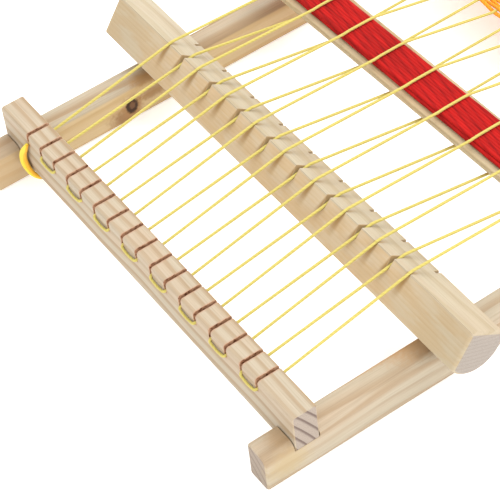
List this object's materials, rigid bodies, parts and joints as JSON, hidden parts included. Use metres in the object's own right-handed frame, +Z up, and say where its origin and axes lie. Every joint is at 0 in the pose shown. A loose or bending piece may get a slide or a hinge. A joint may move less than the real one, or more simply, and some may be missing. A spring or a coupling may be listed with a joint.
{
  "type": "children's frame loom",
  "caption": "Small pine frame loom with slotted end bars, a turning notched heddle bar, cotton warp, a flat shuttle wound with wool and a woven band.",
  "frame": {"origin": "on the table, under the middle of the outline", "axes": "+X along the warp bars to the right, +Y along the rails from the front bar to the rear bar, +Z up"},
  "size_m": [0.29, 0.4, 0.0503],
  "materials": {
    "rail_pine": "sanded, uncoated",
    "bar_pine": "sanded, uncoated",
    "heddle_pine": "sanded, uncoated",
    "shuttle_pine": "sanded, uncoated",
    "screw_steel": "satin",
    "warp_cotton": "matte twisted",
    "red_wool": "matte woolly",
    "orange_wool": "matte woolly"
  },
  "bodies": {
    "frame": {"left_rail": "rail_pine", "right_rail": "rail_pine", "front_warp_bar": "bar_pine", "rear_warp_bar": "bar_pine", "front_left_screw": "screw_steel", "front_right_screw": "screw_steel", "rear_left_screw": "screw_steel", "rear_right_screw": "screw_steel", "woven_cloth": "orange_wool", "warp_start_wraps": "warp_cotton", "warp_01_02_rear": "warp_cotton", "warp_03_04_rear": "warp_cotton", "warp_05_06_rear": "warp_cotton", "warp_07_08_rear": "warp_cotton", "warp_09_10_rear": "warp_cotton", "warp_11_12_rear": "warp_cotton", "warp_13_14_rear": "warp_cotton", "warp_15_16_rear": "warp_cotton", "warp_17_rear": "warp_cotton"},
    "heddle": {"heddle_bar": "heddle_pine"},
    "shuttle": {"shuttle_stick": "shuttle_pine", "shuttle_wool": "red_wool"},
    "warp_front_odd": {"warp_01_front": "warp_cotton", "warp_03_front": "warp_cotton", "warp_05_front": "warp_cotton", "warp_07_front": "warp_cotton", "warp_09_front": "warp_cotton", "warp_11_front": "warp_cotton", "warp_13_front": "warp_cotton", "warp_15_front": "warp_cotton", "warp_17_front": "warp_cotton"},
    "warp_front_even": {"warp_02_front": "warp_cotton", "warp_04_front": "warp_cotton", "warp_06_front": "warp_cotton", "warp_08_front": "warp_cotton", "warp_10_front": "warp_cotton", "warp_12_front": "warp_cotton", "warp_14_front": "warp_cotton", "warp_16_front": "warp_cotton"},
    "warp_shed_odd": {"warp_01_shed": "warp_cotton", "warp_03_shed": "warp_cotton", "warp_05_shed": "warp_cotton", "warp_07_shed": "warp_cotton", "warp_09_shed": "warp_cotton", "warp_11_shed": "warp_cotton", "warp_13_shed": "warp_cotton", "warp_15_shed": "warp_cotton", "warp_17_shed": "warp_cotton"},
    "warp_shed_even": {"warp_02_shed": "warp_cotton", "warp_04_shed": "warp_cotton", "warp_06_shed": "warp_cotton", "warp_08_shed": "warp_cotton", "warp_10_shed": "warp_cotton", "warp_12_shed": "warp_cotton", "warp_14_shed": "warp_cotton", "warp_16_shed": "warp_cotton"}
  },
  "joints": [
    {"name": "heddle_turn", "type": "hinge", "parent": "frame", "child": "heddle", "pos_m": [0, -0.095, 0.0375], "axis": [1, 0, 0], "range_deg": [0, 89.5], "deforming": ["warp_01_front", "warp_02_front", "warp_03_front", "warp_04_front", "warp_05_front", "warp_06_front", "warp_07_front", "warp_08_front", "warp_09_front", "warp_10_front", "warp_11_front", "warp_12_front", "warp_13_front", "warp_14_front", "warp_15_front", "warp_16_front", "warp_17_front", "warp_01_shed", "warp_02_shed", "warp_03_shed", "warp_04_shed", "warp_05_shed", "warp_06_shed", "warp_07_shed", "warp_08_shed", "warp_09_shed", "warp_10_shed", "warp_11_shed", "warp_12_shed", "warp_13_shed", "warp_14_shed", "warp_15_shed", "warp_16_shed", "warp_17_shed"]},
    {"name": "shuttle_slide", "type": "slide", "parent": "frame", "child": "shuttle", "axis": [0.9996, 0.0292, 0], "range_m": [-0.27, 0.27]},
    {"name": "warp_front_odd_lift", "type": "hinge", "parent": "frame", "child": "warp_front_odd", "pos_m": [0, -0.1835, 0.03385], "axis": [1, 0, 0], "range_deg": [0, 0.49]},
    {"name": "warp_front_even_lift", "type": "hinge", "parent": "frame", "child": "warp_front_even", "pos_m": [0, -0.1835, 0.03385], "axis": [1, 0, 0], "range_deg": [0, 4.97]},
    {"name": "warp_shed_odd_lift", "type": "hinge", "parent": "frame", "child": "warp_shed_odd", "pos_m": [0.0014, -0.02315, 0.0471], "axis": [0.9996, 0.0292, 0], "range_deg": [-0.98, 0]},
    {"name": "warp_shed_even_lift", "type": "hinge", "parent": "frame", "child": "warp_shed_even", "pos_m": [0.0014, -0.02315, 0.0335], "axis": [0.9996, 0.0292, 0], "range_deg": [-6.34, 0]}
  ],
  "couplings": [
    {"joint": "warp_front_odd_lift", "follows": "heddle_turn", "ratio": 0.00486},
    {"joint": "warp_front_even_lift", "follows": "heddle_turn", "ratio": 0.05493},
    {"joint": "warp_shed_odd_lift", "follows": "heddle_turn", "ratio": -0.01042},
    {"joint": "warp_shed_even_lift", "follows": "heddle_turn", "ratio": -0.07031}
  ]
}
